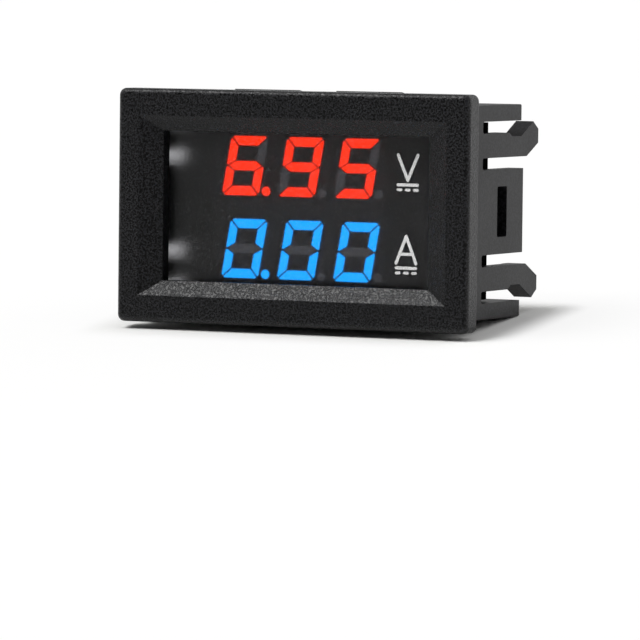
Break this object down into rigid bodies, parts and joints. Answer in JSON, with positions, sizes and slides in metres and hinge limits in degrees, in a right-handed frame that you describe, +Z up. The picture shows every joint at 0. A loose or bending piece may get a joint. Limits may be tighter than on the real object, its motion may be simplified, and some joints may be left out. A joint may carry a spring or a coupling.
{
  "type": "digital panel meter",
  "caption": "Rectangular panel meter: bevelled bezel, seven-segment readouts behind a smoked window, hooked snap arms, spring tongues, rear circuit board with plug headers.",
  "frame": {"origin": "centre of the bezel's back face, the face that seats on the panel, in the middle of the cut-out", "axes": "+X to the right as seen from the front, +Y into the panel, +Z up"},
  "size_m": [0.048, 0.0235, 0.029],
  "materials": {
    "black_abs": "moulded, fine grain",
    "smoked_acrylic": "smoked, fine etched texture",
    "display_shell": "moulded, dark face",
    "potting_epoxy": "cast, slightly cloudy",
    "red_segment": "lit diffuser",
    "blue_segment": "lit diffuser",
    "unlit_segment": "unlit diffuser",
    "board_laminate": "black solder mask",
    "solder": "bright solder",
    "chip_epoxy": "moulded epoxy",
    "tinned_metal": "matt tin plate",
    "capacitor_ceramic": "fired ceramic",
    "resistor_glaze": "black glaze",
    "shunt_alloy": "bare drawn wire",
    "white_nylon": "moulded nylon",
    "trimmer_plastic": "moulded",
    "rotor_metal": "stamped"
  },
  "bodies": {
    "meter": {"housing": "black_abs", "window": "smoked_acrylic", "voltage_display_shell": "display_shell", "voltage_display_potting": "potting_epoxy", "voltage_display_pins": "tinned_metal", "voltage_segments_lit": "red_segment", "voltage_segments_dark": "unlit_segment", "current_display_shell": "display_shell", "current_display_potting": "potting_epoxy", "current_display_pins": "tinned_metal", "current_segments_lit": "blue_segment", "current_segments_dark": "unlit_segment", "circuit_board": "board_laminate", "solder_joints": "solder", "microcontroller_body": "chip_epoxy", "microcontroller_leads": "tinned_metal", "amplifier_body": "chip_epoxy", "amplifier_leads": "tinned_metal", "regulator_body": "chip_epoxy", "regulator_leads": "tinned_metal", "protection_diode_body": "chip_epoxy", "protection_diode_leads": "tinned_metal", "chip_capacitors": "capacitor_ceramic", "chip_capacitor_ends": "tinned_metal", "chip_resistors": "resistor_glaze", "chip_resistor_ends": "tinned_metal", "shunt_wire": "shunt_alloy", "current_header_base": "white_nylon", "current_header_pins": "tinned_metal", "supply_header_shroud": "white_nylon", "supply_header_pins": "tinned_metal", "voltage_trimmer_base": "trimmer_plastic", "voltage_trimmer_terminals": "tinned_metal", "current_trimmer_base": "trimmer_plastic", "current_trimmer_terminals": "tinned_metal"},
    "voltage_rotor": {"voltage_trimmer_rotor": "rotor_metal"},
    "current_rotor": {"current_trimmer_rotor": "rotor_metal"}
  },
  "joints": [
    {"name": "voltage_trim", "type": "hinge", "parent": "meter", "child": "voltage_rotor", "pos_m": [-0.0152, 0.0114, 0.008], "axis": [0, 1, 0], "range_deg": [-105, 105]},
    {"name": "current_trim", "type": "hinge", "parent": "meter", "child": "current_rotor", "pos_m": [0.0166, 0.0114, 0.008], "axis": [0, 1, 0], "range_deg": [-105, 105]}
  ]
}
